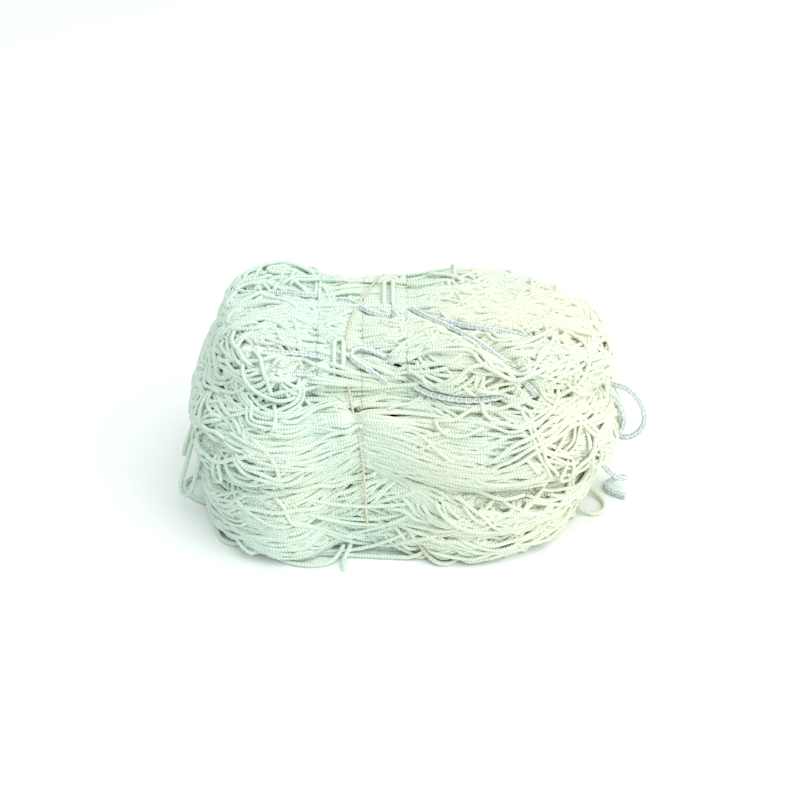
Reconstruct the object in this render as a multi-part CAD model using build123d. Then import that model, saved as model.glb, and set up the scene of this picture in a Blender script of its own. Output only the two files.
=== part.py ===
from build123d import *
import os
from collections import namedtuple
from math import pi, radians, sin, sqrt, tan

# A tennis net taken off its posts, folded into four layers and tied into a hank at its waist.
# Millimetres, +Z up, front towards -Y. The origin is under the middle of the hank, on the floor.

# driving dimensions
twine = 4.0  # knitted white twine of the netting
borderCord = 5.0  # flecked grey cord along the net's edges
tieCord = 2.0  # thin tan tie
waistX = -38.0  # where the tie pinches the hank
waistHalf = 24.0  # half of the pinched stretch
layerGap = 0.5  # between layers that can be lifted apart
layerTops = [30.0, 58.0, 116.0, 149.0]  # floor, lower, middle and top layer
loftStops = [0.0, 0.1, 0.24, 0.42, 0.62, 0.78, 0.9, 0.97, 1.0]  # along a lobe, from waist to tip

# a layer's left and right tips, its front and back, the radius of its upper and lower edges,
# how far out from the waist it is still at its fullest, how blunt its tip is,
# and how far its back has come forward at the right tip
Layer = namedtuple("Layer", "left right front back upper lower full blunt trim")
floorFold = Layer(-160.0, 132.0, -113.0, 112.0, 15.0, 10.0, 0.3, 0.2, 0.0)
lowerFold = Layer(-162.0, 144.0, -109.0, 114.0, 16.0, 10.0, 0.35, 0.22, 0.0)
middleFold = Layer(-167.0, 158.0, -101.0, 109.0, 42.0, 10.0, 0.42, 0.3, 6.0)
topFold = Layer(-148.0, 150.0, -66.0, 97.0, 27.0, 4.0, 0.42, 0.35, 50.0)
flatTop = 0.5  # the share of its height that a lobe keeps at its tip
waistShare = 0.84  # the share of its depth that a layer keeps beside the tie
tieShare = 0.8  # and right under it

os.makedirs("parts", exist_ok=True)
corner_radii = {}


def save(name, solid):
    solid.label = name
    export_step(solid, f"parts/{name}.step")


def swell(t, pinch, full, tip):
    """How full a lobe is: pinch at the waist, where t is 0, 1 at its fullest, tip at its end."""
    opening = pinch + (1.0 - pinch) * sin(0.5 * pi * min(t / 0.4, 1.0))
    closing = 1.0
    if t > full:
        closing = tip + (1.0 - tip) * sqrt(1.0 - ((t - full) / (1.0 - full)) ** 2)
    return opening * closing


def slice_at(x, layer, share, low, high, trim=0.0):
    """One rounded slice across the hank, in the plane at x, its back trim further forward."""
    back = layer.back - trim
    middle = (layer.front + back) / 2
    depth, height = share * (back - layer.front), high - low
    slab = Rectangle(depth, height)
    slab = fillet(slab.vertices().group_by(Axis.Y)[-1], min(layer.upper, 0.72 * height, 0.4 * depth))
    slab = fillet(slab.vertices().group_by(Axis.Y)[0], min(layer.lower, 0.2 * height))
    return Plane(origin=(x, middle, (low + high) / 2), x_dir=(0, 1, 0), z_dir=(1, 0, 0)) * slab


def lobe_slices(start, tip, layer, low, high, pinch):
    """The slices of one lobe, from the waist out to its tip. pinch is its height share at the waist."""
    slices = []
    for t in loftStops:
        share = swell(t, waistShare, layer.full, layer.blunt)
        top = low + (high - low) * swell(t, pinch, layer.full + 0.15, flatTop)
        trim = layer.trim * t**2 if tip > start else 0.0
        slices.append(slice_at(start + (tip - start) * t, layer, share, low, top, trim))
    return slices


def whole_layer(layer, low, high):
    """A layer that stays down: both of its lobes and the waist between them."""
    left = lobe_slices(waistX - waistHalf, layer.left, layer, low, high, 1.0)
    right = lobe_slices(waistX + waistHalf, layer.right, layer, low, high, 1.0)
    return loft(left[::-1] + right, ruled=True)


def lobe(side, layer, low, high, inset, pinch):
    """One lobe of a layer that can be lifted. side is -1 for left and 1 for right."""
    tip = layer.left if side < 0 else layer.right
    start = waistX + side * (waistHalf + inset)
    return loft(lobe_slices(start, tip, layer, low, high, pinch), ruled=True)


def waist_block(layer, low, high):
    """The pinched stretch of a liftable layer, held by the tie."""
    slices = []
    for x, share in ((-waistHalf, waistShare), (-4.0, tieShare), (4.0, tieShare), (waistHalf, waistShare)):
        slices.append(slice_at(waistX + x, layer, share, low, high))
    return loft(slices, ruled=True)


# netting: two layers that stay down, two that lift at the waist
floorTop, lowerTop, middleTop, topTop = layerTops
save("floor_fold", whole_layer(floorFold, 0.0, floorTop))
save("lower_fold", whole_layer(lowerFold, floorTop, lowerTop))
for side, word in ((-1, "left"), (1, "right")):
    save(f"middle_{word}_fold", lobe(side, middleFold, lowerTop + layerGap, middleTop, 1.5, 0.97))
    save(f"top_{word}_fold", lobe(side, topFold, middleTop + layerGap, topTop, 8.0, 0.8))
save("middle_waist", waist_block(middleFold, lowerTop, middleTop))
save("top_waist", waist_block(topFold, middleTop, topTop - 5.0))


def corners_of(route, name):
    """The radius at each corner: 0.45 of the shorter run over the tangent of half the turn."""
    points = [Vector(*p) for p in route]
    radii = []
    for before, here, after in zip(points, points[1:], points[2:]):
        first, second = here - before, after - here
        half_turn = radians(first.get_angle(second)) / 2
        radii.append(0.45 * min(first.length, second.length) / tan(half_turn))
    corner_radii[name] = (min(radii), max(radii))
    return points, radii


def cord(name, route, diameter):
    """A cord along hand-set points: straight runs joined by tangent arcs."""
    points, radii = corners_of(route, name)
    path = FilletPolyline(*points, radius=radii)
    start = Plane(origin=path @ 0, z_dir=path % 0)
    tube = sweep(start * Circle(diameter / 2), path=path)
    ideal = pi * (diameter / 2) ** 2 * path.length
    print(f"{name}: length {path.length:.0f}, volume over ideal {tube.volume / ideal:.4f}")
    save(name, tube)


# grey cords of the net's edges, where they run over the layers
cord("head_cord_left", [
    (-144, 43, 134), (-134, 42, 143), (-119, 39, 148), (-103, 36, 150), (-87, 35, 149), (-74, 36, 147.5),
], borderCord)
cord("head_cord_right", [
    (0, 20, 146), (11, 5, 148), (24, -9, 150), (38, -22, 151), (52, -36, 150), (67, -50, 145),
    (81, -60, 135), (92, -66, 125),
], borderCord)
cord("head_cord_return", [
    (22, -1, 149), (36, -11, 150.5), (52, -17, 151.5), (68, -20, 151), (86, -24, 148), (102, -26, 143),
], borderCord)
cord("foot_cord_left", [
    (-146, -14, 128), (-136, -28, 138), (-118, -39, 145), (-98, -44, 147), (-80, -44, 146), (-66, -44, 143),
], borderCord)
cord("foot_cord_left_return", [
    (-144, -28, 124), (-131, -43, 134), (-111, -54, 139), (-91, -57, 138), (-72, -54, 134),
], borderCord)
cord("foot_cord_bight", [
    (-19, -54, 127), (-30, -50, 135), (-40, -46, 139), (-47, -40, 142), (-43, -34, 145), (-33, -35, 145.5),
    (-19, -42, 142),
], borderCord)
cord("foot_cord_right", [
    (-6, -50, 128), (6, -59, 123), (22, -65, 121), (40, -68, 120), (56, -68, 121), (72, -65, 123),
], borderCord)

# the side edge's grey cord, which hangs out in loops at the right end
cord("side_cord_inner_loop", [
    (140, -24, 100), (150, -30, 102), (159, -35, 95), (164, -39, 83), (160, -41, 71), (152, -40, 65),
    (140, -34, 68),
], borderCord)
cord("side_cord_outer_loop", [
    (146, -8, 96), (157, -14, 99), (169, -20, 97), (178, -27, 88), (181, -32, 76), (175, -34, 65),
    (164, -33, 60), (150, -26, 62),
], borderCord)
cord("side_cord_end", [
    (122, -16, 50), (136, -24, 47), (148, -28, 36), (156, -29, 25), (164, -27, 17), (171, -21, 12),
    (170, -13, 8), (161, -11, 4), (154, -18, 2.6), (159, -27, 2.6), (170, -32, 2.6),
], borderCord)

# bights of white twine that stand out of the layers
cord("left_hanging_bight", [
    (-148, -22, 86), (-158, -27, 82), (-167, -32, 68), (-173, -36, 50), (-178, -40, 32), (-182, -42, 20),
    (-178, -47, 13), (-171, -49, 22), (-167, -46, 38), (-162, -42, 56), (-154, -36, 70), (-144, -30, 76),
], twine)
cord("left_outer_bight", [
    (-150, 4, 84), (-160, 1, 78), (-169, -4, 64), (-175, -8, 48), (-180, -11, 34), (-182, -7, 24),
    (-178, 0, 27), (-173, 5, 40), (-167, 8, 56), (-158, 9, 68), (-147, 8, 74),
], twine)
cord("left_floor_bight", [
    (-146, -44, 9), (-158, -42, 3), (-170, -35, 2), (-180, -25, 2), (-182, -13, 2), (-175, -5, 2),
    (-164, -4, 4), (-150, -9, 9),
], twine)
cord("left_ring_bight", [
    (-128, -20, 106), (-139, -28, 112), (-151, -38, 112), (-160, -48, 103), (-161, -56, 91), (-153, -62, 83),
    (-142, -62, 80), (-130, -56, 82),
], twine)
cord("top_left_ring_bight", [
    (-112, 70, 138), (-122, 75, 144), (-134, 76, 144), (-143, 69, 138), (-145, 60, 129), (-139, 54, 123),
    (-129, 53, 121),
], twine)
cord("top_left_low_bight", [
    (-120, 22, 128), (-133, 20, 132), (-145, 13, 130), (-152, 4, 122), (-149, -5, 119.5),
    (-139, -10, 122), (-126, -9, 126),
], twine)
cord("front_left_floor_bight", [
    (-108, -84, 14), (-120, -90, 6), (-134, -92, 2), (-147, -86, 2), (-151, -74, 2), (-145, -63, 3),
    (-132, -57, 9),
], twine)
cord("front_floor_bight", [
    (-116, -88, 12), (-112, -100, 5), (-100, -110, 2), (-84, -116, 2), (-68, -116, 2), (-57, -110, 3),
    (-52, -99, 8),
], twine)
cord("front_middle_floor_bight", [
    (2, -98, 16), (10, -108, 7), (20, -115, 2), (30, -114, 2), (37, -106, 2.5), (40, -96, 9),
], twine)
cord("front_right_floor_bight", [
    (74, -86, 14), (88, -90, 5), (102, -88, 2), (114, -80, 2), (120, -68, 2), (116, -56, 5),
    (102, -50, 12),
], twine)
cord("right_floor_bight", [
    (108, -34, 22), (122, -42, 12), (133, -51, 4), (144, -55, 2), (152, -49, 2), (153, -38, 2),
    (146, -27, 3), (134, -18, 8), (116, -14, 15),
], twine)
cord("back_floor_bight", [
    (-10, 102, 12), (2, 113, 5), (18, 119, 2), (34, 118, 2), (44, 109, 4), (48, 98, 11),
], twine)
cord("front_tail", [
    (-45, -92, 12), (-47, -100, 7), (-51, -107, 3), (-53, -114, 2), (-51, -121, 2),
], twine)

# ties and knots
cord("head_cord_waist", [
    (-57, 34, 145), (-48, 31, 146.5), (-39, 20, 147), (-30, 11, 147), (-17, 8, 146),
], borderCord)
cord("waist_tie", [
    (-21, 94, 62), (-20, 96, 84), (-20, 94, 106), (-19, 90, 128), (-21, 81, 141), (-27, 64, 146),
    (-36, 40, 147), (-44, 18, 147), (-49, -12, 147), (-50, -36, 145), (-49, -50, 132), (-46, -62, 118),
    (-42, -78, 106), (-38, -83, 88), (-36, -88, 68), (-35, -97, 52), (-34, -100, 30), (-33, -97, 10),
    (-32, -86, 1.4), (-30, -48, 1.3), (-29, -8, 1.4), (-28, 32, 1.3), (-27, 70, 1.4), (-26, 92, 3),
    (-25, 100, 14), (-24, 101, 32), (-22, 100, 48), (-21, 95, 59),
], tieCord)
cord("upper_lashing", [
    (-21.4, 18, 140), (-21.4, 24, 147), (-21.4, 34, 149.4), (-21.4, 45, 149), (-21.4, 54, 147.4),
    (-21.4, 60.5, 146), (-14.6, 60.5, 146), (-14.6, 54, 147.4), (-14.6, 45, 149), (-14.6, 34, 149.4),
    (-14.6, 24, 147), (-14.6, 18, 140),
], twine)
cord("lower_lashing", [
    (-51.6, -44, 112), (-51.6, -51, 119), (-51.6, -50, 131), (-51.6, -43, 142), (-51.6, -34, 147),
    (-51.6, -27, 148), (-58.4, -27, 148), (-58.4, -34, 147), (-58.4, -43, 142), (-58.4, -50, 131),
    (-58.4, -51, 119), (-58.4, -44, 112),
], twine)


def knot(name, place, reach):
    """A knot pulled tight, as its outer lump."""
    save(name, Pos(*place) * scale(Sphere(reach), by=(1.0, 1.0, 1.25)))


knot("waist_tie_knot", (-21, 97.5, 60.5), 3.2)
knot("cord_end_knot", (-128, -2, 137), 5.0)

tightest = min(low for low, high in corner_radii.values())
print(f"corner radii: tightest {tightest:.1f} mm")
for name, (low, high) in corner_radii.items():
    print(f"  {name}: {low:.1f} to {high:.1f}")
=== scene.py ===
import math
import random
import bpy
import bmesh
import numpy as np
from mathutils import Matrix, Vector
from mathutils.bvhtree import BVHTree
from mathutils.kdtree import KDTree


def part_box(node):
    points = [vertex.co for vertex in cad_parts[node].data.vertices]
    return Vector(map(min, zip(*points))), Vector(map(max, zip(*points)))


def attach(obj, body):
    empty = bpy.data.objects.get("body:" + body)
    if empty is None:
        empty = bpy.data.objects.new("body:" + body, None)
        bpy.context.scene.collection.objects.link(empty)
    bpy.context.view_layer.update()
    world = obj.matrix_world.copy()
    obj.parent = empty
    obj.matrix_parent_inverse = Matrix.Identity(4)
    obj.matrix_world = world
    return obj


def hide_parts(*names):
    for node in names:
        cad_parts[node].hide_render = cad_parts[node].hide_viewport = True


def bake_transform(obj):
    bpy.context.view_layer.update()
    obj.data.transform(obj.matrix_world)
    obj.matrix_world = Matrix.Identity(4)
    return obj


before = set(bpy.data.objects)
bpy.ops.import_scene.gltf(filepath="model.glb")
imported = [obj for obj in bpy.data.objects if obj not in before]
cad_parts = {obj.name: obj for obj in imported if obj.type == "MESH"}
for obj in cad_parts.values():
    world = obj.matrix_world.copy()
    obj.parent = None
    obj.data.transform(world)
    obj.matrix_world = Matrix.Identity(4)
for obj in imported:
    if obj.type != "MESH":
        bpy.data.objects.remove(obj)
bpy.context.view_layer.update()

twine = {"diameter": 0.004, "spacing": 0.0021, "uneven": 0.14, "thinnest": 0.76, "sides": 1, "slot": "twine"}
border = {"diameter": 0.005, "spacing": 0.0009, "plait": 0.0066, "relief": 0.3, "sides": 3,
          "slot": "border_cord"}
tie = {"diameter": 0.002, "spacing": 0.0006, "plait": 0.005, "relief": 0.34, "sides": 2, "slot": "tie"}
waistX = (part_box("middle_waist")[0][0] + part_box("middle_waist")[1][0]) / 2  # where the tie sits
print("frame loaded:", len(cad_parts), "nodes")


def placed(name, data):
    made = bpy.data.objects.new(name, data)
    bpy.context.scene.collection.objects.link(made)
    return made


def readAll(items, key, width=3, kind=float):
    # one value of every vertex, edge or corner, a row for each
    values = np.empty(len(items) * width, dtype=kind)
    items.foreach_get(key, values)
    return values.reshape(-1, width)


view = {"aim": (-0.009, 0.028, 0.054), "distance": 1.52, "tilt": 35.0, "lens": 85.0}
aim = Vector(view["aim"])
tilt = math.radians(view["tilt"])
cameraData = bpy.data.cameras.new("camera")
cameraData.lens = view["lens"]
camera = placed("camera", cameraData)
camera.location = aim + view["distance"] * Vector((0.0, -math.cos(tilt), math.sin(tilt)))
camera.rotation_euler = (math.pi / 2 - tilt, 0.0, 0.0)
bpy.context.scene.camera = camera


class Wire:
    # a socket that can be added, multiplied and so on
    def __init__(self, tree, socket):
        self.tree, self.socket = tree, socket

    def maths(self, operation, *others, swap=False):
        node = self.tree.nodes.new("ShaderNodeMath")
        node.operation = operation
        ends = [self, *others]
        if swap:
            ends.reverse()
        for slot, end in zip(node.inputs, ends):
            if isinstance(end, Wire):
                self.tree.links.new(end.socket, slot)
            else:
                slot.default_value = end
        return Wire(self.tree, node.outputs[0])

    def __add__(self, other):
        return self.maths("ADD", other)

    def __mul__(self, other):
        return self.maths("MULTIPLY", other)

    def __sub__(self, other):
        return self.maths("SUBTRACT", other)

    def __rsub__(self, other):
        return self.maths("SUBTRACT", other, swap=True)

    __radd__ = __add__
    __rmul__ = __mul__

    def sine(self):
        return self.maths("SINE")

    def size(self):
        return self.maths("ABSOLUTE")

    def clamp(self):
        return self.maths("MINIMUM", 1.0).maths("MAXIMUM", 0.0)


paintedWarmLight = {"slope": 3.6, "middle": 0.40, "drift": 1.5, "size": 16.0}  # painted warm light: how the twine turns creamier along X, towards the lit right side


class Finish:
    # one material and its node tree
    def __init__(self, name, roughness, sheen):
        self.material = bpy.data.materials.new(name)
        self.material.use_nodes = True
        self.tree = self.material.node_tree
        self.shader = self.tree.nodes["Principled BSDF"]
        self.shader.inputs["Roughness"].default_value = roughness
        self.shader.inputs["Sheen Weight"].default_value = sheen
        self.shader.inputs["Specular IOR Level"].default_value = 0.25

    def add(self, kind, settings=None, out=0, **sockets):
        node = self.tree.nodes.new("ShaderNode" + kind)
        for key, value in (settings or {}).items():
            setattr(node, key, value)
        for key, value in sockets.items():
            slot = node.inputs[int(key[1:])] if key[1:].isdigit() else node.inputs[key]
            if isinstance(value, Wire):
                self.tree.links.new(value.socket, slot)
            else:
                slot.default_value = value
        return Wire(self.tree, node.outputs[out])

    def blend(self, factor, first, second):
        first, second = ((*end, 1.0) if isinstance(end, tuple) else end for end in (first, second))
        return self.add("Mix", {"data_type": "RGBA"}, out=2, i0=factor, i6=first, i7=second)

    def parts(self, place):
        node = self.tree.nodes.new("ShaderNodeSeparateXYZ")
        self.tree.links.new(place.socket, node.inputs[0])
        return [Wire(self.tree, end) for end in node.outputs]

    def noise(self, place, scale, detail=2.0):
        return self.add("TexNoise", Vector=place, Scale=scale, Detail=detail)

    def paintedWarmth(self, place):
        # painted warm light: creamier towards the right end, where the warm light falls, in drifts
        drifts = (self.noise(place, paintedWarmLight["size"]) - 0.5) * paintedWarmLight["drift"]
        return (self.parts(place)[0] * paintedWarmLight["slope"] + paintedWarmLight["middle"] + drifts).clamp()

    def feed(self, **sockets):
        for key, wire in sockets.items():
            name = {"colour": "Base Color", "rough": "Roughness", "normal": "Normal"}[key]
            self.tree.links.new(wire.socket, self.shader.inputs[name])
        return self.material


def strandParts(finish):
    # how far along the strand, in centimetres, and how far round it, 0 to 1
    return finish.parts(finish.add("UVMap", {"uv_map": "strand"}))[:2]


def whiteTwine(name, mint, cream, mintGrooveShade, creamGrooveShade, pitch):
    finish = Finish(name, 0.82, 0.45)
    along, around = strandParts(finish)
    place = finish.add("TexCoord", out=3)
    stitch = ((around * (4 * math.pi)).sine().size() * 0.9 + along * (2 * math.pi / pitch)).sine()
    fibre = finish.noise(place, 1900.0, 3.0)
    warm = finish.paintedWarmth(place)
    # painted shade: a darker colour in the grooves between the twine's ribs, where the bump is low, mixed
    # with random fibre tone
    groove = ((0.5 - stitch * 0.5) * 0.8 + (fibre - 0.5) * 0.5).clamp() * 0.62
    # painted warm light: ridges and grooves both turn creamier towards the right
    ridge = finish.blend(warm, mint, cream)
    colour = finish.blend(groove, ridge, finish.blend(warm, mintGrooveShade, creamGrooveShade))
    height = stitch * 0.8 + fibre * 0.9
    bump = finish.add("Bump", Height=height, Strength=0.6, Distance=0.0006)
    return finish.feed(colour=colour, rough=0.74 + fibre * 0.2, normal=bump)


def fleckedBraid(name, light, dark, pitch, share):
    finish = Finish(name, 0.7, 0.15)
    along, around = strandParts(finish)
    place = finish.add("TexCoord", out=3)
    turn = along * (2 * math.pi / pitch)
    leftHand = (turn + around * (4 * math.pi)).sine()
    rightHand = (turn - around * (4 * math.pi)).sine()
    fleck = ((leftHand * rightHand) * 1.6 + share).clamp()
    fibre = finish.noise(place, 800.0, 3.0)
    wear = finish.noise(place, 90.0)
    mask = (fleck + (fibre - 0.5) * 1.6 + (wear - 0.5) * 0.9).clamp()
    colour = finish.blend(mask, light, dark)
    height = leftHand.maths("MAXIMUM", rightHand) + fibre * 0.8
    bump = finish.add("Bump", Height=height, Strength=0.6, Distance=0.0006)
    return finish.feed(colour=colour, rough=0.6 + fibre * 0.25, normal=bump)


def packedCore(name, light, dark, creamLight, creamDark):
    finish = Finish(name, 0.95, 0.1)
    place = finish.add("TexCoord", out=3)
    wander = finish.noise(place, 28.0, 1.0)
    warm = finish.paintedWarmth(place)
    strands = finish.add("TexWave", {"bands_direction": "Z"}, out=1, Vector=place, Scale=80.0,
                         Distortion=14.0, Detail=2.0)
    # painted shade: the dark colours sit in the troughs between the painted strands, mixed with random tone
    # from the wander noise
    mask = (strands * 0.7 + (wander - 0.5) * 0.8).clamp()
    # painted warm light: both core colours turn creamier towards the right
    colour = finish.blend(mask, finish.blend(warm, dark, creamDark), finish.blend(warm, light, creamLight))
    bump = finish.add("Bump", Height=strands, Strength=1.0, Distance=0.0018)
    return finish.feed(colour=colour, rough=0.85 + wander * 0.1, normal=bump)


surfaces = {
    # the twine's third and fourth colours are painted shade for its rib grooves
    "twine": whiteTwine("whiteTwine", (0.79, 0.96, 0.85), (0.90, 0.95, 0.79), (0.54, 0.72, 0.58),
                        (0.76, 0.78, 0.54), 0.215),
    "border_cord": fleckedBraid("fleckedBorder", (0.82, 0.92, 0.88), (0.36, 0.44, 0.43), 0.33, 0.02),
    "tie": fleckedBraid("tanTie", (0.86, 0.85, 0.72), (0.66, 0.61, 0.46), 0.25, 0.30),
    # the core's second and fourth colours are painted shade between its painted strands
    "netting": packedCore("packedTwine", (0.84, 0.98, 0.88), (0.72, 0.88, 0.76), (0.93, 0.96, 0.82),
                          (0.84, 0.88, 0.70)),
}
print("materials made:", len(surfaces))


def addObject(name, mesh, slot):
    piece = placed(name, mesh)
    mesh.materials.clear()
    mesh.materials.append(surfaces[slot])
    return piece


def curveMesh(name, kind, lines, **settings):
    # one curve with a spline for each line, as a mesh
    curve = bpy.data.curves.new(name, "CURVE")
    curve.dimensions = "3D"
    for key, value in settings.items():
        setattr(curve, key, value)
    for line in lines:
        spline = curve.splines.new(kind)
        spline.points.add(len(line) - 1)
        flat = np.ones((len(line), 4))
        flat[:, :3] = line
        spline.points.foreach_set("co", flat.ravel())
        if kind == "NURBS":
            spline.order_u = 3
            spline.use_endpoint_u = True
    holder = placed(name, curve)
    mesh = bpy.data.meshes.new_from_object(holder)
    bpy.data.objects.remove(holder)
    bpy.data.curves.remove(curve)
    return mesh


def centreLines(routes, steps):
    # smooth lines through listed or walked points, as lists of positions
    mesh = curveMesh("routes", "NURBS", routes, resolution_u=steps)
    spots = readAll(mesh.vertices, "co")
    pairs = readAll(mesh.edges, "vertices", 2, np.int64)
    joined = np.zeros(len(spots), dtype=bool)
    joined[pairs.min(axis=1)] = True
    ends = np.flatnonzero(~joined) + 1
    bpy.data.meshes.remove(mesh)
    return np.split(spots, ends[:-1])


def evenly(line, spacing):
    lengths = np.linalg.norm(np.diff(line, axis=0), axis=1)
    reach = np.concatenate(([0.0], np.cumsum(lengths)))
    count = max(3, int(round(reach[-1] / spacing)) + 1)
    marks = np.linspace(0.0, reach[-1], count)
    return np.stack([np.interp(marks, reach, line[:, k]) for k in range(3)], axis=1)


def tubes(name, lines, look, spacing=None, slot=None, grow=1.0):
    # one bevelled curve for all lines, made a mesh, with ribs or a plait in its surface
    spacing = spacing or look["spacing"]
    lines = [evenly(line, spacing) for line in lines]
    mesh = curveMesh(name, "POLY", lines, bevel_depth=grow * look["diameter"] / 2,
                     bevel_resolution=look["sides"])
    mesh.name = name

    centres = np.concatenate(lines)
    dice = np.random.RandomState(len(lines))
    late = dice.uniform(0.0, 0.02, len(lines))  # so that the ribs of neighbours don't line up
    along = np.concatenate([np.arange(len(line)) * np.linalg.norm(line[1] - line[0]) + start
                            for line, start in zip(lines, late)])
    thinnest = look.get("thinnest", 1.0) if len(lines) > 1 else 1.0
    girth = np.repeat(dice.uniform(thinnest, 1.0, len(lines)), [len(line) for line in lines])
    girth *= 1.0 - look.get("uneven", 0.0) * dice.random_sample(len(centres))
    around = len(mesh.vertices) // len(centres)
    spots = readAll(mesh.vertices, "co")
    ring = np.arange(len(spots)) // around
    turn = (np.arange(len(spots)) % around) / around
    girth = girth[ring]
    if "plait" in look:
        wave = 2 * np.pi * along[ring] / look["plait"]
        high = np.maximum(np.sin(wave + 4 * np.pi * turn), np.sin(wave - 4 * np.pi * turn))
        girth = girth * (1.0 - look["relief"] * (1.0 - high) / 2)
    spots = centres[ring] + (spots - centres[ring]) * girth[:, None]
    mesh.vertices.foreach_set("co", spots.ravel())

    # U runs in centimetres along the strand, V once round it
    corners = readAll(mesh.loops, "vertex_index", 1, np.int64)[:, 0]
    layer = mesh.uv_layers[0]
    uv = readAll(layer.data, "uv", 2)
    spread = [len(np.unique(uv[:, k].round(4))) for k in (0, 1)]
    roundIndex = 0 if spread[0] < spread[1] else 1
    fresh = np.stack([along[corners // around] * 100.0, uv[:, roundIndex]], axis=1)
    layer.data.foreach_set("uv", fresh.ravel())
    layer.name = "strand"
    mesh.polygons.foreach_set("use_smooth", np.ones(len(mesh.polygons), dtype=bool))

    shell = bmesh.new()
    shell.from_mesh(mesh)
    rims = [edge for edge in shell.edges if edge.is_boundary]
    bmesh.ops.holes_fill(shell, edges=rims, sides=around + 1)
    shell.to_mesh(mesh)
    shell.free()
    mesh.update()
    return addObject(name, mesh, slot or look["slot"])


def lineLength(line):
    return float(np.linalg.norm(np.diff(line, axis=0), axis=1).sum())


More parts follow.
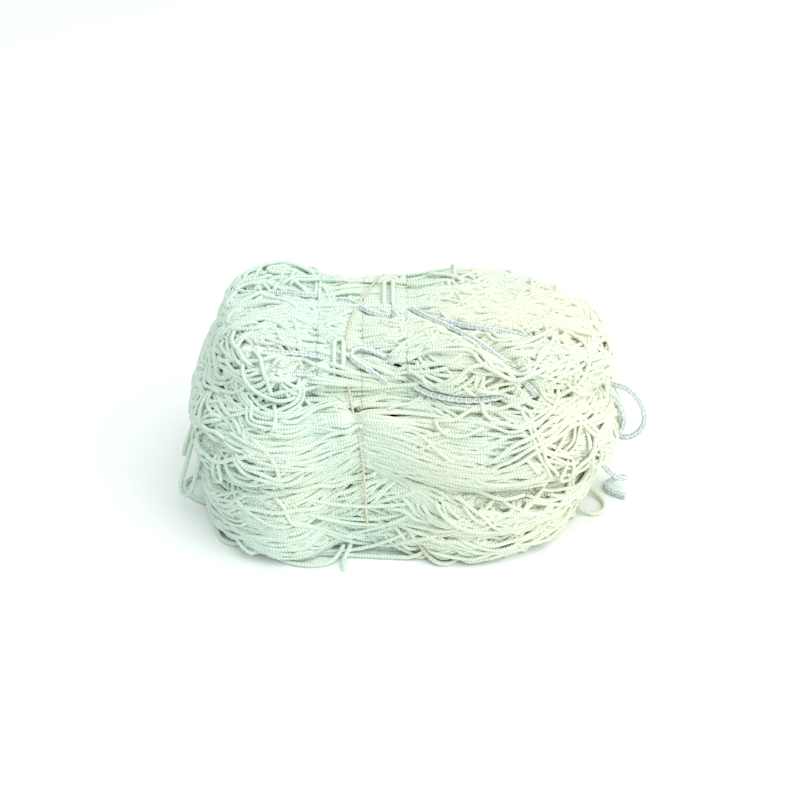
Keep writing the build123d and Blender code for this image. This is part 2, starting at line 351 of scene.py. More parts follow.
# each cord: its node, the body it rides on, what it is made of, and its route in millimetres
cordRoutes = [
    ("head_cord_left", "top_left", "border", [
        (-144, 43, 134), (-134, 42, 143), (-119, 39, 148), (-103, 36, 150), (-87, 35, 149), (-74, 36, 147.5),
    ]),
    ("head_cord_right", "top_right", "border", [
        (0, 20, 146), (11, 5, 148), (24, -9, 150), (38, -22, 151), (52, -36, 150), (67, -50, 145),
        (81, -60, 135), (92, -66, 125),
    ]),
    ("head_cord_return", "top_right", "border", [
        (22, -1, 149), (36, -11, 150.5), (52, -17, 151.5), (68, -20, 151), (86, -24, 148), (102, -26, 143),
    ]),
    ("foot_cord_left", "top_left", "border", [
        (-146, -14, 128), (-136, -28, 138), (-118, -39, 145), (-98, -44, 147), (-80, -44, 146),
        (-66, -44, 143),
    ]),
    ("foot_cord_left_return", "top_left", "border", [
        (-144, -28, 124), (-131, -43, 134), (-111, -54, 139), (-91, -57, 138), (-72, -54, 134),
    ]),
    ("foot_cord_bight", "base", "border", [
        (-19, -54, 127), (-30, -50, 135), (-40, -46, 139), (-47, -40, 142), (-43, -34, 145),
        (-33, -35, 145.5), (-19, -42, 142),
    ]),
    ("foot_cord_right", "top_right", "border", [
        (-6, -50, 128), (6, -59, 123), (22, -65, 121), (40, -68, 120), (56, -68, 121), (72, -65, 123),
    ]),
    ("side_cord_inner_loop", "middle_right", "border", [
        (140, -24, 100), (150, -30, 102), (159, -35, 95), (164, -39, 83), (160, -41, 71), (152, -40, 65),
        (140, -34, 68),
    ]),
    ("side_cord_outer_loop", "middle_right", "border", [
        (146, -8, 96), (157, -14, 99), (169, -20, 97), (178, -27, 88), (181, -32, 76), (175, -34, 65),
        (164, -33, 60), (150, -26, 62),
    ]),
    ("side_cord_end", "base", "border", [
        (122, -16, 50), (136, -24, 47), (148, -28, 36), (156, -29, 25), (164, -27, 17), (171, -21, 12),
        (170, -13, 8), (161, -11, 4), (154, -18, 2.6), (159, -27, 2.6), (170, -32, 2.6),
    ]),
    ("left_hanging_bight", "middle_left", "twine", [
        (-148, -22, 86), (-158, -27, 82), (-167, -32, 68), (-173, -36, 50), (-178, -40, 32), (-182, -42, 20),
        (-178, -47, 13), (-171, -49, 22), (-167, -46, 38), (-162, -42, 56), (-154, -36, 70), (-144, -30, 76),
    ]),
    ("left_outer_bight", "middle_left", "twine", [
        (-150, 4, 84), (-160, 1, 78), (-169, -4, 64), (-175, -8, 48), (-180, -11, 34), (-182, -7, 24),
        (-178, 0, 27), (-173, 5, 40), (-167, 8, 56), (-158, 9, 68), (-147, 8, 74),
    ]),
    ("left_floor_bight", "base", "twine", [
        (-146, -44, 9), (-158, -42, 3), (-170, -35, 2), (-180, -25, 2), (-182, -13, 2), (-175, -5, 2),
        (-164, -4, 4), (-150, -9, 9),
    ]),
    ("left_ring_bight", "middle_left", "twine", [
        (-128, -20, 106), (-139, -28, 112), (-151, -38, 112), (-160, -48, 103), (-161, -56, 91),
        (-153, -62, 83), (-142, -62, 80), (-130, -56, 82),
    ]),
    ("top_left_ring_bight", "top_left", "twine", [
        (-112, 70, 138), (-122, 75, 144), (-134, 76, 144), (-143, 69, 138), (-145, 60, 129), (-139, 54, 123),
        (-129, 53, 121),
    ]),
    ("top_left_low_bight", "top_left", "twine", [
        (-120, 22, 128), (-133, 20, 132), (-145, 13, 130), (-152, 4, 122), (-149, -5, 119.5),
        (-139, -10, 122), (-126, -9, 126),
    ]),
    ("front_left_floor_bight", "base", "twine", [
        (-108, -84, 14), (-120, -90, 6), (-134, -92, 2), (-147, -86, 2), (-151, -74, 2), (-145, -63, 3),
        (-132, -57, 9),
    ]),
    ("front_floor_bight", "base", "twine", [
        (-116, -88, 12), (-112, -100, 5), (-100, -110, 2), (-84, -116, 2), (-68, -116, 2), (-57, -110, 3),
        (-52, -99, 8),
    ]),
    ("front_middle_floor_bight", "base", "twine", [
        (2, -98, 16), (10, -108, 7), (20, -115, 2), (30, -114, 2), (37, -106, 2.5), (40, -96, 9),
    ]),
    ("front_right_floor_bight", "base", "twine", [
        (74, -86, 14), (88, -90, 5), (102, -88, 2), (114, -80, 2), (120, -68, 2), (116, -56, 5),
        (102, -50, 12),
    ]),
    ("right_floor_bight", "base", "twine", [
        (108, -34, 22), (122, -42, 12), (133, -51, 4), (144, -55, 2), (152, -49, 2), (153, -38, 2),
        (146, -27, 3), (134, -18, 8), (116, -14, 15),
    ]),
    ("back_floor_bight", "base", "twine", [
        (-10, 102, 12), (2, 113, 5), (18, 119, 2), (34, 118, 2), (44, 109, 4), (48, 98, 11),
    ]),
    ("front_tail", "base", "twine", [
        (-45, -92, 12), (-47, -100, 7), (-51, -107, 3), (-53, -114, 2), (-51, -121, 2),
    ]),
    ("head_cord_waist", "base", "border", [
        (-57, 34, 145), (-48, 31, 146.5), (-39, 20, 147), (-30, 11, 147), (-17, 8, 146),
    ]),
    ("waist_tie", "base", "tie", [
        (-21, 94, 62), (-20, 96, 84), (-20, 94, 106), (-19, 90, 128), (-21, 81, 141), (-27, 64, 146),
        (-36, 40, 147), (-44, 18, 147), (-49, -12, 147), (-50, -36, 145), (-49, -50, 132), (-46, -62, 118),
        (-42, -78, 106), (-38, -83, 88), (-36, -88, 68), (-35, -97, 52), (-34, -100, 30), (-33, -97, 10),
        (-32, -86, 1.4), (-30, -48, 1.3), (-29, -8, 1.4), (-28, 32, 1.3), (-27, 70, 1.4), (-26, 92, 3),
        (-25, 100, 14), (-24, 101, 32), (-22, 100, 48), (-21, 95, 59),
    ]),
    ("upper_lashing", "base", "twine", [
        (-21.4, 18, 140), (-21.4, 24, 147), (-21.4, 34, 149.4), (-21.4, 45, 149), (-21.4, 54, 147.4),
        (-21.4, 60.5, 146), (-14.6, 60.5, 146), (-14.6, 54, 147.4), (-14.6, 45, 149), (-14.6, 34, 149.4),
        (-14.6, 24, 147), (-14.6, 18, 140),
    ]),
    ("lower_lashing", "base", "twine", [
        (-51.6, -44, 112), (-51.6, -51, 119), (-51.6, -50, 131), (-51.6, -43, 142), (-51.6, -34, 147),
        (-51.6, -27, 148), (-58.4, -27, 148), (-58.4, -34, 147), (-58.4, -43, 142), (-58.4, -50, 131),
        (-58.4, -51, 119), (-58.4, -44, 112),
    ]),
]
looks = {"twine": twine, "border": border, "tie": tie}
smoothLines = centreLines([np.array(route) / 1000 for *_, route in cordRoutes], steps=12)
for (name, body, kind, route), line in zip(cordRoutes, smoothLines):
    look = looks[kind]
    piece = tubes(name + "_rope", [line], look)
    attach(piece, body)
    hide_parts(name)
    evenly(line, 0.002)
print("cords laid:", len(cordRoutes))


def knotPiece(name, node, body, thickness, look):
    # a trefoil that fills the box of its node
    low, high = (Vector(corner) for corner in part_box(node))
    middle, reach = (low + high) / 2, (high - low) / 2
    steps, fill = 48, 0.27
    route = []
    for step in range(steps + 1):
        a = 2 * math.pi * step / steps
        x = math.sin(a) + 2 * math.sin(2 * a)
        y = math.cos(a) - 2 * math.cos(2 * a)
        spot = Vector((x, y, -math.sin(3 * a)))
        route.append(middle + Vector((spot.x * reach.x, spot.y * reach.y, spot.z * reach.z * 1.6)) * fill)
    piece = tubes(name, [np.array(route)], look, slot="tie", grow=thickness)
    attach(piece, body)
    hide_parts(node)


knotPiece("tieKnot", "waist_tie_knot", "base", 1.0, tie)
knotPiece("creamKnot", "cord_end_knot", "top_left", 0.9, twine)


def weldedCopy(nodes):
    # the CAD solids of some layers in one mesh
    pile = bmesh.new()
    for node in nodes:
        pile.from_mesh(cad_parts[node].data)
    bmesh.ops.remove_doubles(pile, verts=pile.verts[:], dist=0.00001)
    return pile


def softened(name, pile, passes, shrink=0.0):
    mesh = bpy.data.meshes.new(name)
    pile.to_mesh(mesh)
    pile.free()
    holder = placed(name, mesh)
    remesh = holder.modifiers.new("remesh", "REMESH")
    remesh.mode = "VOXEL"
    remesh.voxel_size = 0.004
    smooth = holder.modifiers.new("smooth", "SMOOTH")
    smooth.factor = 0.5
    smooth.iterations = passes
    shape = bpy.data.meshes.new_from_object(holder.evaluated_get(bpy.context.evaluated_depsgraph_get()))
    bpy.data.objects.remove(holder)
    bpy.data.meshes.remove(mesh)
    if shrink:
        spots = readAll(shape.vertices, "co") - shrink * readAll(shape.vertices, "normal")
        shape.vertices.foreach_set("co", spots.ravel())
        shape.update()
    return shape


class Skin:
    # a soft outer surface that can be asked for its nearest point or its point in a direction
    def __init__(self, name, nodes, axis, slots=(), passes=10):
        pile = weldedCopy(nodes)
        for low, high in slots:  # a block joins two lobes over the slot beside the tie
            made = bmesh.ops.create_cube(pile, size=1.0)["verts"]
            bmesh.ops.scale(pile, vec=[b - a for a, b in zip(low, high)], verts=made)
            bmesh.ops.translate(pile, vec=[(a + b) / 2 for a, b in zip(low, high)], verts=made)
        self.mesh = softened(name, pile, passes)
        self.tree = BVHTree.FromPolygons([v.co for v in self.mesh.vertices],
                                         [p.vertices[:] for p in self.mesh.polygons])
        self.axisY, self.axisZ = axis
        self.low = Vector([min(v.co[k] for v in self.mesh.vertices) for k in range(3)])
        self.high = Vector([max(v.co[k] for v in self.mesh.vertices) for k in range(3)])
        self.marks = {-1: self.girth(-0.100), 1: self.girth(0.060)}

    def near(self, spot):
        place, normal, _, _ = self.tree.find_nearest(spot)
        return place, normal

    def towards(self, x, a):
        # from the axis outwards: a is 0 at the front, a quarter turn at the top
        start = Vector((x, self.axisY, self.axisZ))
        place, normal, _, _ = self.tree.ray_cast(start, Vector((0.0, -math.cos(a), math.sin(a))))
        if place is None:
            return self.near(start)
        return place, normal

    def girth(self, x, count=96):
        # angles and how far round the slice each one is
        angles = [2 * math.pi * k / count for k in range(count + 1)]
        spots = [self.towards(x, a)[0] for a in angles]
        reach = [0.0]
        for one, two in zip(spots, spots[1:]):
            reach.append(reach[-1] + (two - one).length)
        return np.array(reach) / reach[-1], np.array(angles), reach[-1]


pileNodes = ["floor_fold", "lower_fold", "middle_waist", "middle_left_fold", "middle_right_fold"]
pileSlot = ((-0.070, -0.080, 0.060), (-0.006, 0.085, 0.112))
topNodes = ["top_left_fold", "top_waist", "top_right_fold"]
topSlot = ((-0.074, -0.045, 0.118), (-0.002, 0.075, 0.140))
skins = {
    "whole": Skin("wholeSkin", pileNodes + ["top_left_fold", "top_right_fold", "top_waist"], (0.008, 0.085),
                  [pileSlot, topSlot], passes=30),
    "pile": Skin("pileSkin", pileNodes, (0.004, 0.055), [pileSlot], passes=16),
    "base": Skin("baseSkin", ["floor_fold", "lower_fold", "middle_waist"], (0.002, 0.03)),
    "middle": Skin("middleSkin", ["middle_left_fold", "middle_waist", "middle_right_fold"], (0.004, 0.088),
                   [pileSlot]),
    "top": Skin("topSkin", topNodes, (0.016, 0.131), [topSlot]),
}
print("skins ready")

passing = {"bead": 0.002, "reach": 0.012, "closest": 0.008, "buriedBeads": 3, "buriedDepth": 0.003}


class RopeMap:
    # finds the laid cords near a spot, so that strands can pass under them
    def __init__(self, lines, thicknesses):
        self.beads = []
        for line, thick in zip(lines, thicknesses):
            spots = evenly(line, passing["bead"])
            for k, spot in enumerate(spots):
                openly = min(k, len(spots) - 1 - k) > passing["buriedBeads"]
                self.beads.append((spot, (thick + twine["diameter"]) / 2, openly))
        self.tree = KDTree(len(self.beads))
        for k, (spot, _, _) in enumerate(self.beads):
            self.tree.insert(spot, k)
        self.tree.balance()

    def clear(self, spot, outward, extra=0.0, deepest=0.007):
        # under the open stretches of the cords, and over their ends where these go into the pile
        drop = 0.0
        for rope, k, gap in self.tree.find_range(spot, passing["reach"]):
            _, room, openly = self.beads[k]
            along = (rope - spot).dot(outward)
            under = (room + extra) ** 2 - gap * gap + along * along
            if under > 0 and along > -(deepest if openly else passing["buriedDepth"]):
                drop = max(drop, math.sqrt(under) - along)
        return spot - outward * drop


ropes = RopeMap(smoothLines, [looks[kind]["diameter"] for _, _, kind, _ in cordRoutes])
floorGap = twine["diameter"] / 2 + 0.0002


def finished(routes, skin, under=True):
    # smooth lines from walked routes, under the cords and on top of the floor
    done = []
    for line in centreLines(routes, steps=4):
        line = evenly(line, 0.0025)
        for k, spot in enumerate(line if under else ()):
            if ropes.tree.find(spot)[2] < passing["closest"]:
                line[k] = ropes.clear(Vector(spot), skin.near(spot)[1])
        for _ in range(3):
            line[1:-1] = (line[:-2] + 2 * line[1:-1] + line[2:]) / 4
        line[:, 2] = np.maximum(line[:, 2], floorGap)
        done.append(line)
    return done


def dive(route, normals, depth):
    # both ends go down into the pile, so that no cut end shows
    first = Vector(route[0]) - normals[0] * depth
    last = Vector(route[-1]) - normals[-1] * depth
    return [first] + route + [last]


laying = {"step": 0.018, "bulge": 0.42, "pinch": 0.0025, "pinchWidth": 0.009, "ripple": 0.0012}


def laidRoute(skin, side, share, startX, reach, turnBy, lift, sway, gather=None):
    # out from the waist, round a bight and back
    marks, angles, girth = skin.marks[side]
    steps = max(4, int(abs(reach - startX) / laying["step"]))
    route, normals = [], []

    def lay(x, t, offset):
        wave = sway["wobble"] * t * math.sin(sway["phase"] + sway["waves"] * t + 40 * offset)
        a = float(np.interp((share + offset + sway["drift"] * t + wave) % 1.0, marks, angles))
        place, normal = skin.towards(x, a)
        if gather:
            place, normal = gather(skin, place)
        groove = laying["pinch"] * math.exp(-((x - waistX) / laying["pinchWidth"]) ** 2)
        ripple = laying["ripple"] * math.sin(sway["phase"] + 5 * t + 30 * offset)
        route.append(place + normal * (lift - groove + ripple))
        normals.append(normal)

    for k in range(steps + 1):
        lay(startX + (reach - startX) * k / steps, k / steps, 0.0)
    if turnBy:
        lay(reach + side * abs(turnBy) * girth * laying["bulge"], 1.0, turnBy / 2)
        for k in range(steps, -1, -1):
            lay(startX + (reach - startX) * k / steps, k / steps, turnBy)
    return route, normals


def newSway(rng, least, most, wobble):
    return {"drift": rng.uniform(least, most), "wobble": rng.uniform(0.2, 1.0) * wobble,
            "phase": rng.uniform(0, 2 * math.pi), "waves": rng.uniform(4.0, 9.0)}


def walkGuide(skin, rng, start, turn, bundle, keep):
    # a wandering path over a skin, as places, normals and the directions across it
    place, normal = skin.near(start)
    steps = max(3, round(bundle["length"] / bundle["stride"]))
    wander, guide, before = 0.0, [], Vector((-turn, 0, 0))
    for k in range(steps + 1):
        t = k / steps
        level = normal.cross(Vector((0, 0, 1))) * turn
        if level.length < 0.4:  # nearly flat, so it keeps on as it was going
            level = before - normal * before.dot(normal)
        level.normalize()
        before = level
        rise = level.cross(normal) * turn
        slope = bundle["pitchIn"] * (1 - t) + bundle["pitchOut"] * t + wander
        heading = level * math.cos(slope) + rise * math.sin(slope)
        guide.append((place, normal, normal.cross(heading)))
        wander = 0.7 * wander + rng.gauss(0, bundle["wander"])
        ahead, aheadNormal = skin.near(place + heading * bundle["stride"])
        if not keep(ahead):
            break
        place, normal = ahead, aheadNormal
    return guide


fraying = {"lift": 0.0012, "spread": 0.25, "stray": 0.0012, "rise": 0.001, "dive": 0.006}


def walkBundle(skin, rng, start, turn, bundle, keep):
    # strands side by side along one path; pitchIn and pitchOut are its slopes at the two ends
    guide = walkGuide(skin, rng, start, turn, bundle, keep)
    routes = []
    for strand in range(bundle["strands"] if len(guide) > 2 else 0):
        offset = (strand - (bundle["strands"] - 1) / 2) * bundle["gap"]
        phase, lift = rng.uniform(0, 6.28), bundle["lift"] + rng.uniform(-fraying["lift"], fraying["lift"])
        first, last = rng.randint(0, 1), len(guide) - rng.randint(0, 1)
        route, normals = [], []
        for k, (spot, _, sideways) in enumerate(guide[first:last]):
            spread = 1 + fraying["spread"] * math.sin(phase + 0.8 * k)
            stray = fraying["stray"] * math.sin(phase + 1.7 * k)
            near, nearOut = skin.near(spot + sideways * (offset * spread + stray))
            rise = fraying["rise"] * math.sin(phase + 2.3 * k)
            route.append(near + nearOut * (lift + rise))
            normals.append(nearOut)
        if len(route) > 2:
            routes.append(dive(route, normals, fraying["dive"]))
    return routes


def hangRoute(skin, rng, start, down, length, width, lift):
    # a bight that droops: down, round and up again
    _, normal = skin.near(start)
    acrossWay = normal.cross(down).normalized()
    count, lean = 4, rng.uniform(-0.25, 0.25)
    route, normals = [], []

    def lay(spot, raised):
        near, out = skin.near(spot)
        route.append(near + out * raised)
        normals.append(out)

    for leg, marks in enumerate((range(count), range(count - 1, -1, -1))):
        for k in marks:
            t = k / (count - 1)
            spread = (leg - 0.5) * width * (0.35 + 0.9 * t)
            lay(start + down * length * t + acrossWay * (spread + lean * length * t), lift + 0.003 * t)
        if leg == 0:
            lay(start + down * (length + width * 0.55) + acrossWay * lean * length, lift + 0.003)
    return route, normals


def crossingAt(cutX, near, far):
    share = (cutX - near[0]) / (far[0] - near[0])
    return (near + share * (far - near))[None]


def split(lines, cutX, side):
    # the parts of lines nearer the tie than cutX, and the parts beyond it
    inner, outer = [], []
    for line in lines:
        line = evenly(line, 0.002)
        beyond = side * (line[:, 0] - cutX) > 0
        start = 0
        for k in range(1, len(line) + 1):
            if k == len(line) or beyond[k] != beyond[start]:
                piece = [line[start:k]]
                if start:
                    piece.insert(0, crossingAt(cutX, line[start - 1], line[start]))
                if k < len(line):
                    piece.append(crossingAt(cutX, line[k - 1], line[k]))
                joined = np.concatenate(piece)
                if lineLength(joined) > 0.004:
                    (outer if beyond[start] else inner).append(joined)
                start = k
    return inner, outer


def gatherMiddle(skin, place):
    # near the tie the middle layer draws together at its upper half
    weight = math.exp(-((place.x - waistX) / 0.05) ** 2)
    drawn = 0.081 + (place.z - 0.058) * 0.6
    return skin.near(Vector((place.x, place.y * 1.04, place.z + (drawn - place.z) * weight)))


layers = {
    "middle_left": {"skin": "middle", "side": -1, "shown": 50, "hidden": 30, "strays": 26, "curls": 50,
                    "hang": 34, "walks": 12, "fans": 12, "drapes": 0, "curtain": 0, "drift": (-0.045, 0.045),
                    "short": 0.040, "tips": 34, "seed": 11},
    "middle_right": {"skin": "middle", "side": 1, "shown": 48, "hidden": 30, "strays": 30, "curls": 130,
                     "hang": 90, "walks": 20, "fans": 13, "drapes": 0, "curtain": 0, "drift": (-0.06, 0.03),
                     "short": 0.060, "tips": 26, "seed": 12},
    "top_left": {"skin": "top", "side": -1, "shown": 66, "hidden": 16, "strays": 34, "curls": 124,
                 "hang": 34, "walks": 14, "fans": 0, "drapes": 34, "curtain": 20, "drift": (-0.045, 0.045),
                 "short": 0.040, "tips": 34, "seed": 13},
    "top_right": {"skin": "top", "side": 1, "shown": 70, "hidden": 18, "strays": 60, "curls": 210,
                  "hang": 60, "walks": 24, "fans": 0, "drapes": 60, "curtain": 84, "drift": (-0.12, 0.01),
                  "short": 0.090, "tips": 10, "seed": 14},
}


def lobe(name, spec, more):
    # its dice, skin, side and the X of its free end
    low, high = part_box(name + "_fold")
    tip = low[0] if spec["side"] < 0 else high[0]
    return random.Random(spec["seed"] + more), skins[spec["skin"]], spec["side"], tip


def shareOf(skin, side, a):
    marks, angles, _ = skin.marks[side]
    return float(np.interp(a % (2 * math.pi), angles, marks))


def visibleSpan(name):
    # the arcs of a layer that show, as angles from the front over the top
    if name.startswith("middle"):
        return [(-0.5, 0.75), (math.pi - 0.75, math.pi + 0.5)]
    return [(-0.5, math.pi + 0.5)]


def laidLayer(name, spec):
    # the parallel strands of one lobe: fine ones that show, plain ones that lie between layers
    rng, skin, side, tip = lobe(name, spec, 0)
    gather = gatherMiddle if spec["skin"] == "middle" else None
    startX = waistX - side * 0.003
    spans = [(shareOf(skin, side, low), shareOf(skin, side, high)) for low, high in visibleSpan(name)]
    spans = [(low - 1.0 if low > high else low, high) for low, high in spans]
    total = sum(high - low for low, high in spans)
    shown, hidden = [], []
    for low, high in spans:
        count = round(spec["shown"] * (high - low) / total)
        left = 0
        for k in range(count):
            if not left:
                left = rng.randint(2, 6)
                sway = newSway(rng, *spec["drift"], 0.016)
                lift = rng.uniform(-0.0015, 0.0030)
                reach = tip - side * (0.006 + spec["short"] * rng.random() ** 1.6)
            left -= 1
            share = low + (high - low) * (k + rng.uniform(-0.3, 0.3)) / count
            turnBy = rng.choice((-1, 1)) * rng.uniform(0.010, 0.040)
            end = reach - side * rng.uniform(0.0, 0.010)
            height = lift + rng.uniform(-0.0008, 0.0008)
            route = laidRoute(skin, side, share, startX, end, turnBy, height, sway, gather)
            shown.append(dive(*route, 0.005))
    for k in range(spec["hidden"]):
        share = (k + rng.uniform(-0.3, 0.3)) / spec["hidden"]
        reach = tip - side * rng.uniform(0.008, 0.030)
        sway = newSway(rng, -0.02, 0.02, 0.006)
        route = laidRoute(skin, side, share, startX, reach, 0.5 / spec["hidden"], -0.0014, sway, gather)
        hidden.append(dive(*route, 0.004))
    return shown, hidden


def strayed(name, spec):
    # single strands, thin bundles and curls that run across the others at a slant
    rng, skin, side, far = lobe(name, spec, 20)
    routes = []

    def keep(spot):
        between = side * (spot.x - waistX) > 0.008 and side * (far - spot.x) > 0.004
        return between and spot.z > skin.low.z + 0.006

    for k in range(spec["strays"] + spec["curls"]):
        x = waistX + side * rng.uniform(0.012, 0.090)
        angle = rng.uniform(-0.35, 1.2) if rng.random() < 0.6 else rng.uniform(1.2, math.pi + 0.35)
        curly = k >= spec["strays"]
        if curly:
            x = waistX + side * (0.020 + (abs(far - waistX) - 0.024) * rng.random() ** 0.75)
        place, _ = skin.towards(x, angle)
        tilt = rng.gauss(0, 0.30)
        bundle = dict(length=rng.uniform(0.05, 0.15), stride=0.010, pitchIn=tilt - rng.uniform(0.0, 0.5),
                      pitchOut=tilt + rng.uniform(0.0, 0.7), wander=0.07, gap=0.0036,
                      strands=rng.choice((1, 1, 2, 3)), lift=rng.uniform(0.0020, 0.0040))
        turn = side if place.y < skin.axisY else -side
        if curly:
            bundle.update(length=rng.uniform(0.045, 0.110), stride=0.0065, wander=0.24,
                          pitchIn=rng.gauss(-0.3, 0.6), pitchOut=rng.gauss(0.4, 0.9),
                          strands=rng.choice((1, 1, 2)), lift=rng.uniform(0.0010, 0.0048))
            turn = rng.choice((-1, 1))
        routes += walkBundle(skin, rng, place, turn, bundle, keep)
    return routes


def draped(name, spec):
    # bights of the top layer that hang over its edge, down to the layer below
    rng, top, side, far = lobe(name, spec, 70)
    routes = []

    def keep(spot):
        return spot.z > 0.060 and side * (spot.x - waistX) > 0.040

    for k in range(spec["drapes"] + spec["curtain"]):
        x = waistX + side * (0.045 + (abs(far - waistX) - 0.047) * rng.random() ** 0.7)
        angle = rng.uniform(-0.3, 0.6)
        place, _ = top.towards(x, angle if k % 3 else math.pi - angle)
        steep = rng.uniform(0.7, 1.4)
        bundle = dict(length=rng.uniform(0.045, 0.100), stride=0.008, pitchIn=-steep,
                      pitchOut=steep * rng.uniform(0.5, 1.1), wander=0.08, gap=0.0037,
                      strands=rng.choice((1, 2, 2, 3)), lift=rng.uniform(0.0005, 0.0040))
        if k >= spec["drapes"]:
            edgeX = far - side * (0.002 + 0.075 * rng.random() ** 1.3)
            place, _ = top.towards(edgeX, rng.uniform(-0.2, 3.3))
            bundle.update(length=rng.uniform(0.050, 0.105), stride=0.0065, wander=0.22,
                          pitchIn=rng.uniform(-1.5, -0.8), pitchOut=rng.uniform(-1.3, 0.8),
                          strands=rng.choice((1, 1, 2)))
        routes += walkBundle(skins["whole"], rng, place, rng.choice((-1, 1)), bundle, keep)
    return routes


def looseEnds(name, spec):
    # bundles that wander and bights that droop over the lobe's free end
    rng, skin, side, far = lobe(name, spec, 50)
    floorZ, near = skin.low.z + 0.004, waistX + side * 0.060
    walks, hangs = [], []

    def keep(spot):
        return spot.z > floorZ and side * (spot.x - near) > 0

    for _ in range(spec["walks"]):
        x = near + (far - near) * rng.random() ** 0.6
        place, _ = skin.towards(x, rng.uniform(-0.3, math.pi + 0.3))
        bundle = dict(length=rng.uniform(0.05, 0.11), stride=0.009, pitchIn=rng.uniform(-1.3, 0.4),
                      pitchOut=rng.uniform(-1.3, 1.3), wander=0.12, strands=rng.randint(2, 4), gap=0.0037,
                      lift=rng.uniform(0.0, 0.003))
        walks += walkBundle(skin, rng, place, rng.choice((-1, 1)), bundle, keep)
    for _ in range(spec["hang"]):
        x = far - side * abs(rng.gauss(0.0, 0.022))
        place, _ = skin.towards(x, rng.uniform(-0.1, math.pi + 0.1))
        drop = min(0.045, place.z - floorZ + 0.006) * rng.uniform(0.5, 1.0)
        if drop > 0.012:
            down = Vector((side * rng.uniform(0.0, 0.25), rng.gauss(0, 0.25), -1)).normalized()
            hangs.append(dive(*hangRoute(skin, rng, place, down, drop, rng.uniform(0.006, 0.011),
                                         rng.uniform(0.0, 0.0033)), 0.007))
    return walks + hangs


def tipWraps(name, spec):
    # short turns that cover the lobe's end face
    rng, skin, side, far = lobe(name, spec, 120)
    routes = []

    def keep(spot):
        return side * (spot.x - far) > -0.030

    for _ in range(spec["tips"]):
        outside = Vector((far + side * 0.020, rng.uniform(skin.low.y + 0.015, skin.high.y - 0.015),
                          rng.uniform(skin.low.z, skin.high.z)))
        bundle = dict(length=rng.uniform(0.035, 0.080), stride=0.0065, pitchIn=rng.uniform(-1.4, 1.4),
                      pitchOut=rng.uniform(-1.4, 1.4), wander=0.16, strands=rng.choice((1, 2, 2, 3)),
                      gap=0.0037, lift=rng.uniform(0.0, 0.0035))
        routes += walkBundle(skin, rng, skin.near(outside)[0], rng.choice((-1, 1)), bundle, keep)
    return routes


def fanned(name, spec):
    # bundles that leave the pinch under the tie and spread down over the heap, front and back
    rng, _, side, far = lobe(name, spec, 90)
    routes = []

    def keep(spot):
        return 0.012 < spot.z < 0.112 and side * (far - spot.x) > 0.004

    for k in range(2 * spec["fans"]):
        share = (k // 2) / (spec["fans"] - 1)
        face = -1 if k % 2 == 0 else 1
        start = Vector((waistX - side * rng.uniform(0.0, 0.006), face * 0.085, 0.104 - 0.030 * share))
        bundle = dict(length=rng.uniform(0.085, 0.125), stride=0.010,
                      pitchIn=-0.10 - 0.75 * share + rng.gauss(0, 0.08),
                      pitchOut=rng.uniform(-0.2, 0.35) + 0.2 * share, wander=0.03,
                      strands=rng.randint(3, 6), gap=0.0032, lift=rng.uniform(0.0, 0.0035))
        routes += walkBundle(skins["pile"], rng, start, side * face, bundle, keep)
    return routes


plainSpacing = 0.005  # rings of the strands that lie between layers
for name, spec in layers.items():
    side, skin = spec["side"], skins[spec["skin"]]
    shown, hidden = laidLayer(name, spec)
    fine, coarse = finished(shown, skin), finished(hidden, skin)
    kinds = {"Strands": (fine, None), "Lining": (coarse, plainSpacing),
             "Tangle": (finished(strayed(name, spec), skin), None)}
    ends = finished(looseEnds(name, spec) + draped(name, spec), skin)
    if name.startswith("middle"):
        bend = {"start": (waistX + side * 0.012, 0, 0.1), "end": (waistX + side * 0.050, 0, 0.1)}
        kinds["Fan"] = (finished(fanned(name, spec), skins["pile"]), None)
        for word, (lines, spacing) in kinds.items():
            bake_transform(tubes(name + word, lines, twine, spacing))
    else:
        cutX = waistX + side * 0.034
        bendIn = {"start": (waistX + side * 0.008, 0, 0.13), "end": (cutX, 0, 0.13)}
        bendOut = {"start": (cutX, 0, 0.13), "end": (waistX + side * 0.072, 0, 0.13)}
        for word, (lines, spacing) in kinds.items():
            inner, outer = split(lines, cutX, side)
            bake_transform(tubes(name + word + "Inner", inner, twine, spacing))
            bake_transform(tubes(name + word, outer, twine, spacing))
    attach(tubes(name + "LooseEnds", ends, twine), name)
    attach(tubes(name + "TipWraps", finished(tipWraps(name, spec), skin), twine), name)
    print("layer laid:", name, len(fine), "fine", len(coarse), "plain", len(ends), "loose")


# the bottom heap stays down
heapFaces = {
    "heapFront": {"bundles": 44, "curls": 90, "bights": 30, "swags": 34,
                  "low": (-0.150, -0.120, 0.006), "high": (0.120, -0.060, 0.075)},
    "heapBack": {"bundles": 34, "curls": 40, "bights": 14, "swags": 16,
                 "low": (-0.150, 0.060, 0.006), "high": (0.130, 0.120, 0.070)},
    "heapLeft": {"bundles": 16, "curls": 24, "bights": 12, "swags": 8,
                 "low": (-0.170, -0.090, 0.006), "high": (-0.130, 0.090, 0.056)},
    "heapRight": {"bundles": 18, "curls": 30, "bights": 12, "swags": 8,
                  "low": (0.100, -0.090, 0.006), "high": (0.150, 0.090, 0.056)},
}


def heapKeep(spot):
    limit = 0.060 + 0.020 * math.exp(-((spot.x - waistX) / 0.030) ** 2)
    return 0.003 < spot.z < limit


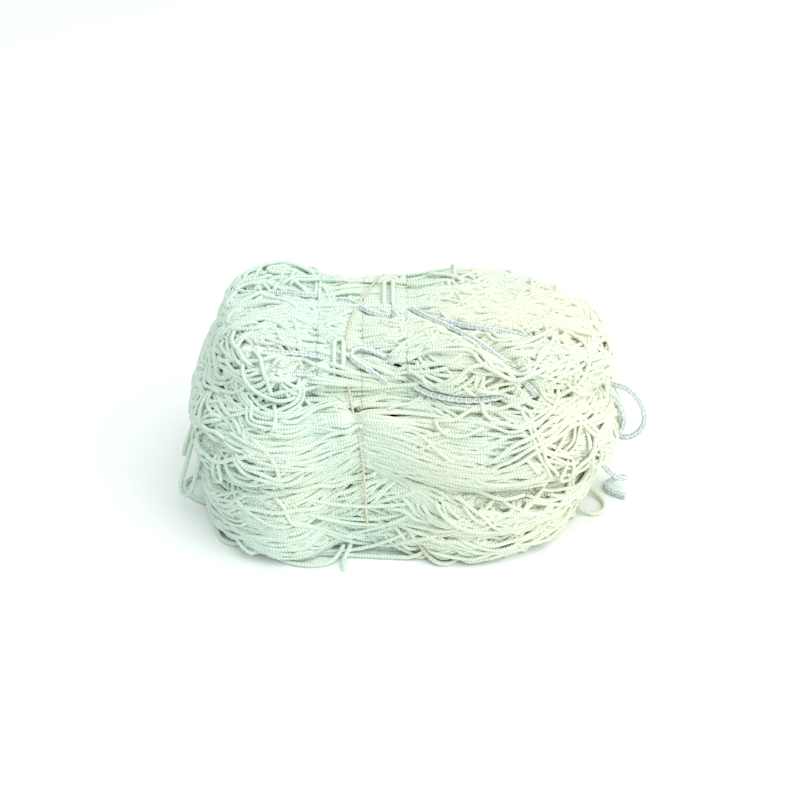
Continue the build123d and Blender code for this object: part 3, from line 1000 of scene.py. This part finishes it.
def heapBundles(face, seed):
    rng = random.Random(seed)
    skin = skins["base"]
    firstBight = face["bundles"] + face["curls"]
    firstSwag = firstBight + face["bights"]
    routes = []
    made = 0
    while made < firstSwag + face["swags"]:
        spot = Vector([rng.uniform(a, b) for a, b in zip(face["low"], face["high"])])
        spot.z = face["low"][2] + (face["high"][2] - face["low"][2]) * rng.random() ** 1.4
        place, normal = skin.near(spot)
        if not heapKeep(place) or abs(normal.z) > 0.85:
            continue
        sag = rng.uniform(0.05, 0.9) * min(1.0, place.z / 0.040)
        tilt = rng.gauss(0, 0.28)
        bundle = dict(length=rng.uniform(0.06, 0.13), stride=0.009, pitchIn=tilt - sag, pitchOut=tilt + sag,
                      wander=0.05, strands=rng.randint(2, 5), gap=0.0036, lift=rng.uniform(-0.0015, 0.0045))
        if made >= face["bundles"]:
            bundle.update(length=rng.uniform(0.05, 0.11), stride=0.0065, wander=0.20,
                          strands=rng.choice((1, 1, 2)), lift=rng.uniform(0.0005, 0.0048))
        if made >= firstBight:
            steep = rng.uniform(1.1, 1.5)
            bundle.update(length=rng.uniform(0.030, 0.050), stride=0.006, pitchIn=-steep, pitchOut=steep,
                          strands=rng.randint(1, 2), lift=rng.uniform(0.002, 0.0045))
        if made >= firstSwag:
            steep = rng.uniform(0.3, 0.9) * min(1.0, place.z / 0.040)
            bundle.update(length=rng.uniform(0.07, 0.12), stride=0.010, wander=0.01, pitchIn=tilt - steep,
                          pitchOut=tilt + steep, strands=rng.choice((1, 1, 2)),
                          lift=rng.uniform(0.004, 0.0062))
        routes += walkBundle(skin, rng, place, rng.choice((-1, 1)), bundle, heapKeep)
        made += 1
    return routes


for number, (name, face) in enumerate(heapFaces.items()):
    lines = finished(heapBundles(face, 31 + number), skins["base"])
    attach(tubes(name, lines, twine), "base")
    print("heap face laid:", name, len(lines))

rng = random.Random(71)
crossing = []
for k in range(64):
    y = -0.095 + 0.19 * k / 63
    route = []
    for x in np.linspace(-0.150, 0.134, 15):
        place, out = skins["base"].near(Vector((x, y + 0.008 * math.sin(k + 30 * x), 0.058)))
        if abs(x - waistX) > 0.030:
            route.append(place + out * rng.uniform(-0.0012, 0.0006))
        elif len(route) > 2:
            crossing.append(route)
            route = []
    if len(route) > 2:
        crossing.append(route)
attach(tubes("heapTopLining", finished(crossing, skins["base"]), twine, plainSpacing), "base")
print("bottom heap laid")


def waistStrands(skinName, spans, count, gather, seed):
    # short strands drawn in under the tie
    rng = random.Random(seed)
    skin = skins[skinName]
    routes = []
    for k in range(count):
        low, high = spans[k % len(spans)]
        share = shareOf(skin, 1, rng.uniform(low, high))
        first = waistX - rng.uniform(0.020, 0.036)
        last = waistX + rng.uniform(0.020, 0.036)
        route = laidRoute(skin, 1, share, first, last, 0, rng.uniform(-0.001, 0.0026),
                          newSway(rng, -0.02, 0.02, 0.01), gather)
        routes.append(dive(*route, 0.006))
    return finished(routes, skin)


def crossingStrands(skinName, seed, bands):
    # strands that go from one lobe to the other, straight across the dip between them
    rng = random.Random(seed)
    skin = skins[skinName]
    routes = []
    for band in bands:
        for _ in range(band["count"]):
            first, last = (rng.uniform(*band["angles"]) for _ in range(2))
            last = 0.5 * first + 0.5 * last
            reach = rng.uniform(*band["reach"])
            ends = []
            for x, a in ((waistX - reach, first), (waistX + reach * rng.uniform(0.8, 1.2), last)):
                place, out = skin.towards(x, a)
                ends.append(place + out * rng.uniform(*band["lift"]))
            sag = rng.uniform(0.0, band["sag"])
            route, normals = [], []
            for k in range(9):
                t = k / 8
                spot = ends[0].lerp(ends[1], t) - Vector((0, 0, 4 * sag * t * (1 - t)))
                near, out = skin.near(spot)
                inside = (spot - near).dot(out) < 0.001
                route.append(near + out * 0.001 if inside else spot)
                normals.append(out)
            routes.append(dive(route, normals, 0.007))
    return finished(routes, skin, under=False)


def bothSides(name, lines):
    # a left and a right half, each a piece of its own
    for side, word in ((-1, "Left"), (1, "Right")):
        piece = tubes(name + word, split(lines, waistX, side)[1], twine)
        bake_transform(piece)


heapCover = crossingStrands("base", 95, [
    {"angles": (-0.75, 0.45), "reach": (0.020, 0.050), "lift": (-0.012, 0.004), "sag": 0.024, "count": 64},
    {"angles": (math.pi - 0.4, math.pi + 0.7), "reach": (0.020, 0.046), "lift": (-0.010, 0.004), "sag": 0.018,
     "count": 40},
])
topCover = crossingStrands("top", 96, [
    {"angles": (1.75, 2.4), "reach": (0.030, 0.046), "lift": (-0.002, 0.003), "sag": 0.001, "count": 26},
    {"angles": (-0.45, 0.25), "reach": (0.022, 0.044), "lift": (-0.002, 0.003), "sag": 0.003, "count": 26},
])
creases = waistStrands("whole", [(-0.35, 0.7), (math.pi - 0.7, math.pi + 0.35)], 64, None, 97)
middleWaist = waistStrands("middle", [(-0.4, 0.75), (math.pi - 0.75, math.pi + 0.4)], 70, gatherMiddle, 91)
topWaist = waistStrands("top", [(-0.2, math.pi + 0.2)], 90, None, 92)
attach(tubes("tieCoverHeap", heapCover, twine), "base")
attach(tubes("waistMiddleStrands", middleWaist, twine), "base")
bothSides("tieCoverTop", topCover)
bothSides("waistCreaseStrands", creases)
bothSides("waistTopStrands", topWaist)
print("waist strands laid")


# packed twine under the strands, with the lobes that it stands for and its body
cores = {
    "heapCore": (["floor_fold", "lower_fold"], "base"),
    "middleWaistCore": (["middle_waist"], "base"),
    "topWaistCore": (["top_waist"], "base"),
    "middleLeftCore": (["middle_left_fold"], "middle_left"),
    "middleRightCore": (["middle_right_fold"], "middle_right"),
    "topLeftCore": (["top_left_fold"], "top_left"),
    "topRightCore": (["top_right_fold"], "top_right"),
}
for name, (nodes, body) in cores.items():
    core = addObject(name, softened(name, weldedCopy(nodes), 6, shrink=0.0010), "netting")
    for spot in core.data.vertices:
        spot.co = ropes.clear(spot.co, spot.normal, extra=0.0022, deepest=-0.0005)
        spot.co.z = max(spot.co.z, 0.0006)
    core.data.polygons.foreach_set("use_smooth", [True] * len(core.data.polygons))
    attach(core, body)
    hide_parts(*nodes)
print("cores made")


floorFinish = Finish("paleFloor", 0.9, 0.0)
haze = floorFinish.noise(floorFinish.add("TexCoord", out=3), 1.2)
floorFinish.feed(colour=floorFinish.blend(haze, (0.93, 0.985, 0.97), (0.945, 0.985, 0.98)))
sweepBm = bmesh.new()
bmesh.ops.create_grid(sweepBm, x_segments=2, y_segments=2, size=3.0)
floorMesh = bpy.data.meshes.new("floor")
sweepBm.to_mesh(floorMesh)
sweepBm.free()
floorMesh.materials.append(floorFinish.material)
placed("floor", floorMesh)

lamps = {
    "overhead": {"place": (0.25, 0.05, 1.5), "size": 1.8, "power": 13.0, "colour": (1.0, 1.0, 1.0)},
    "warmSide": {"place": (1.25, -0.8, 0.8), "size": 1.2, "power": 11.0, "colour": (1.0, 0.99, 0.95)},
}
for name, lamp in lamps.items():
    light = bpy.data.lights.new(name, "AREA")
    light.energy = lamp["power"]
    light.size = lamp["size"]
    light.color = lamp["colour"]
    holder = placed(name, light)
    holder.location = lamp["place"]
    holder.rotation_euler = (Vector((0, 0, 0.05)) - Vector(lamp["place"])).to_track_quat("-Z", "Y").to_euler()

world = bpy.data.worlds.new("studio")
world.use_nodes = True
world.node_tree.nodes["Background"].inputs["Color"].default_value = (1.0, 1.0, 1.0, 1.0)
world.node_tree.nodes["Background"].inputs["Strength"].default_value = 0.75
bpy.context.scene.world = world
bpy.context.scene.view_settings.view_transform = "Standard"

seen = [piece for piece in bpy.context.scene.objects if piece.type == "MESH" and not piece.hide_render]
print("triangles:", sum(len(face.vertices) - 2 for piece in seen for face in piece.data.polygons))
